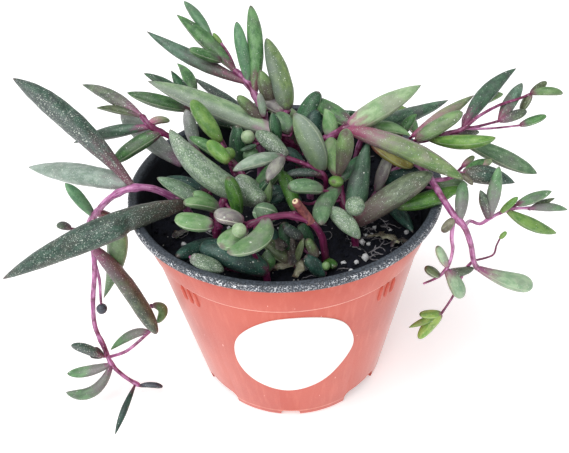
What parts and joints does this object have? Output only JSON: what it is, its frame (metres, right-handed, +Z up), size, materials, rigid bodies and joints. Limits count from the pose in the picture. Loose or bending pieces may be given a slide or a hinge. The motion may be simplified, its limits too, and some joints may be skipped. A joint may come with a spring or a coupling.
{
  "type": "potted string of pickles",
  "caption": "Trailing succulent with plump, pointed grey-green leaves on purple stems, spilling over the black rim of a round terracotta-coloured nursery pot with a blank label.",
  "frame": {"origin": "centre of the pot's underside, on the surface that the pot stands on", "axes": "+Z up; -Y towards the label, which is the side that faces the viewer; +X to the viewer's right"},
  "size_m": [0.1782, 0.1146, 0.1251],
  "materials": {
    "pot_plastic": "satin moulded plastic, orange terracotta colour outside, black at the rim and inside",
    "potting_soil": "dark damp potting mix with bark fibres and a few white perlite grains",
    "label_paper": "smooth white sticker, blank",
    "stem_purple": "waxy magenta-purple stem, lighter on the lit side",
    "leaf_green": "waxy mid green succulent leaf, purple towards its neck",
    "leaf_pale": "pale grey-green succulent leaf with a powdery bloom and fine pale speckles",
    "leaf_dark": "dark green to purple-brown succulent leaf with small white speckles",
    "leaf_bright": "glossy yellow-green succulent leaf with a paler edge"
  },
  "bodies": {
    "root": {"label": "label_paper", "leaf_back_broad": "leaf_green", "leaf_back_dark": "leaf_dark", "leaf_back_left_grey": "leaf_pale", "leaf_back_left_long": "leaf_dark", "leaf_back_left_side": "leaf_dark", "leaf_back_point": "leaf_dark", "leaf_behind_dark": "leaf_dark", "leaf_centre_bright": "leaf_bright", "leaf_centre_broad": "leaf_green", "leaf_centre_pale": "leaf_pale", "leaf_centre_speckled": "leaf_pale", "leaf_centre_tall": "leaf_green", "leaf_front_banana": "leaf_green", "leaf_front_curved": "leaf_bright", "leaf_front_end_on": "leaf_pale", "leaf_front_left": "leaf_pale", "leaf_left_dark": "leaf_dark", "leaf_left_drooping": "leaf_dark", "leaf_left_hanging": "leaf_bright", "leaf_left_pale": "leaf_pale", "leaf_left_raised": "leaf_dark", "leaf_long_pale": "leaf_pale", "leaf_low_front": "leaf_green", "leaf_low_side": "leaf_dark", "leaf_middle_oval": "leaf_green", "leaf_middle_upright": "leaf_bright", "leaf_outer_low": "leaf_bright", "leaf_right_back_dark": "leaf_dark", "leaf_right_back_light": "leaf_pale", "leaf_right_bright": "leaf_bright", "leaf_right_long": "leaf_pale", "leaf_right_purple": "leaf_dark", "leaf_right_spread": "leaf_green", "leaf_right_standing": "leaf_dark", "leaf_right_upper": "leaf_green", "leaf_right_upright": "leaf_green", "leaf_top_lower": "leaf_dark", "leaf_top_upper": "leaf_dark", "leaf_top_upright": "leaf_bright", "leaf_trailing_end": "leaf_pale", "pot": "pot_plastic", "soil": "potting_soil", "stem_back": "stem_purple", "stem_back_left": "stem_purple", "stem_back_right": "stem_purple", "stem_behind": "stem_purple", "stem_core": "stem_purple", "stem_front": "stem_purple", "stem_front_left": "stem_purple", "stem_left_trailing": "stem_purple", "stem_mid_left": "stem_purple", "stem_mid_right": "stem_purple", "stem_right_hanging": "stem_purple", "stem_right_low": "stem_purple", "stem_right_outer": "stem_purple", "stem_right_raised": "stem_purple", "stem_right_trailing": "stem_purple", "stem_thin": "stem_purple", "stem_top": "stem_purple"}
  },
  "joints": []
}
